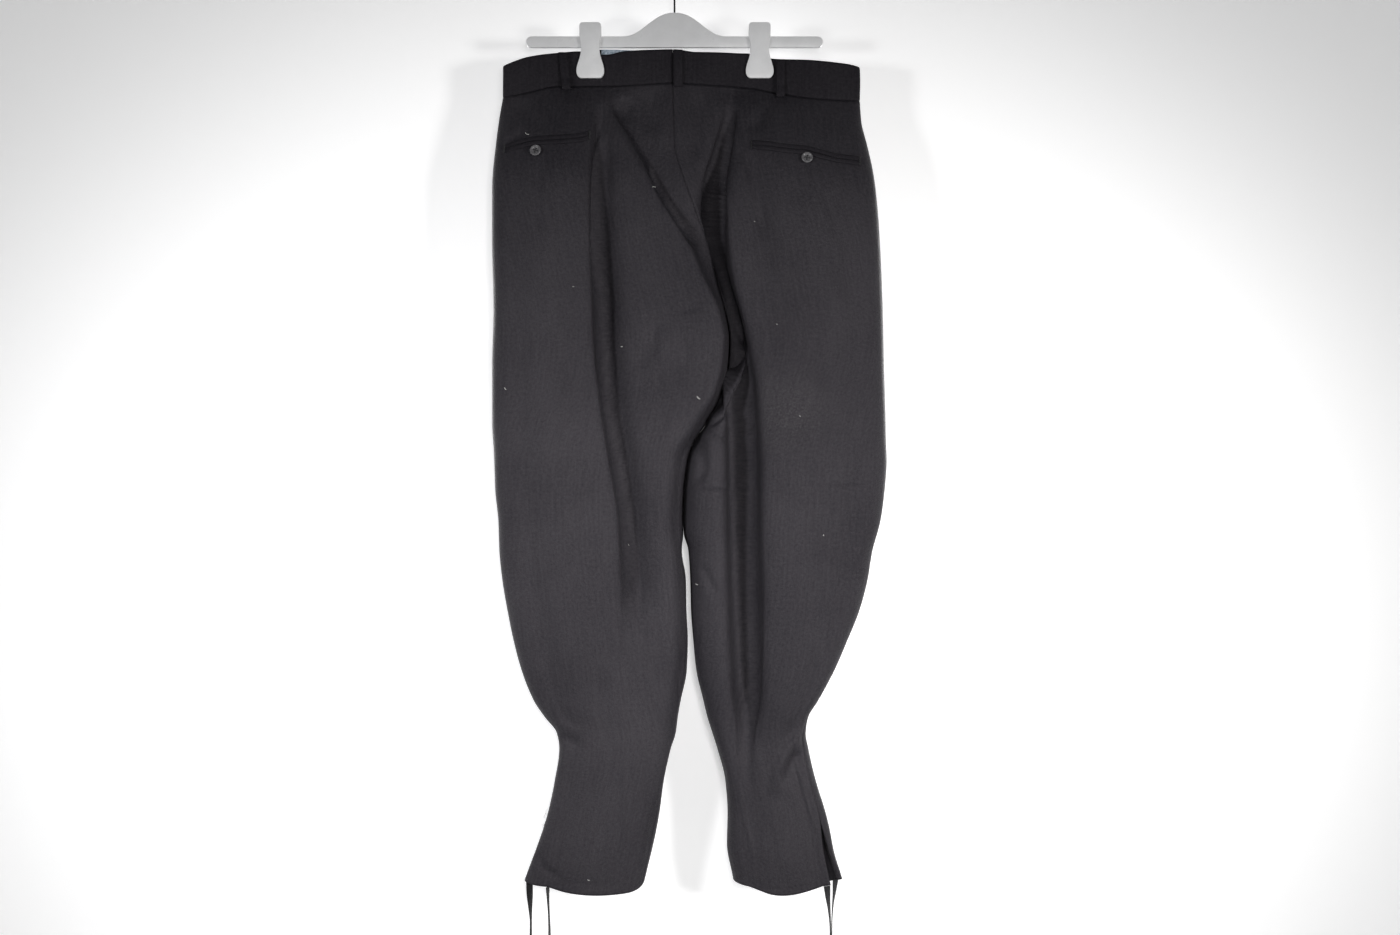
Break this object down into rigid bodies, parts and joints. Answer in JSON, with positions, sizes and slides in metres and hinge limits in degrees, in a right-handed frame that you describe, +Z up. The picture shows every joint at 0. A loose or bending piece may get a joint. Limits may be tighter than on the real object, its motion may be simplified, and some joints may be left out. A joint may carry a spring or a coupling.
{
  "type": "puffed trousers on a clip hanger",
  "caption": "Black wool breeches with puffed outer thighs, narrow lower legs and tie tapes at the hems, hung by the waistband from a clip hanger.",
  "frame": {"origin": "inside top of the hanger's hook, where it hangs on a rod", "axes": "+Z up, the back of the trousers faces -Y and the wearer's right is +X"},
  "size_m": [0.4721, 0.11, 1.3244],
  "materials": {
    "wool_twill": "matt wool twill with a faint sheen, near black",
    "inner_cotton": "plain pale blue cotton",
    "tie_tape": "narrow woven tape, near black",
    "button": "polished dark, slightly mottled",
    "hanger_plastic": "white moulded plastic, satin",
    "hook_wire": "dark plated steel wire"
  },
  "bodies": {
    "root": {"back_left": "wool_twill", "back_right": "wool_twill", "front_left": "wool_twill", "front_right": "wool_twill", "waistband_back_left": "wool_twill", "waistband_back_right": "wool_twill", "waistband_front_left": "wool_twill", "waistband_front_right": "wool_twill", "pocket_left_upper_jet": "wool_twill", "pocket_left_lower_jet": "wool_twill", "pocket_right_upper_jet": "wool_twill", "pocket_right_lower_jet": "wool_twill", "fly_flap": "wool_twill", "belt_loop_back_left": "wool_twill", "belt_loop_back_centre": "wool_twill", "belt_loop_back_right": "wool_twill", "belt_loop_front_left": "wool_twill", "belt_loop_front_right": "wool_twill", "waist_strip": "inner_cotton", "tie_left_front": "tie_tape", "tie_left_back": "tie_tape", "tie_right_back": "tie_tape", "tie_right_front": "tie_tape", "pocket_button_left": "button", "pocket_button_right": "button", "waist_button": "button", "hanger_bar": "hanger_plastic", "clip_left_back": "hanger_plastic", "clip_left_front": "hanger_plastic", "clip_right_back": "hanger_plastic", "clip_right_front": "hanger_plastic", "hanger_hook": "hook_wire"}
  },
  "joints": []
}
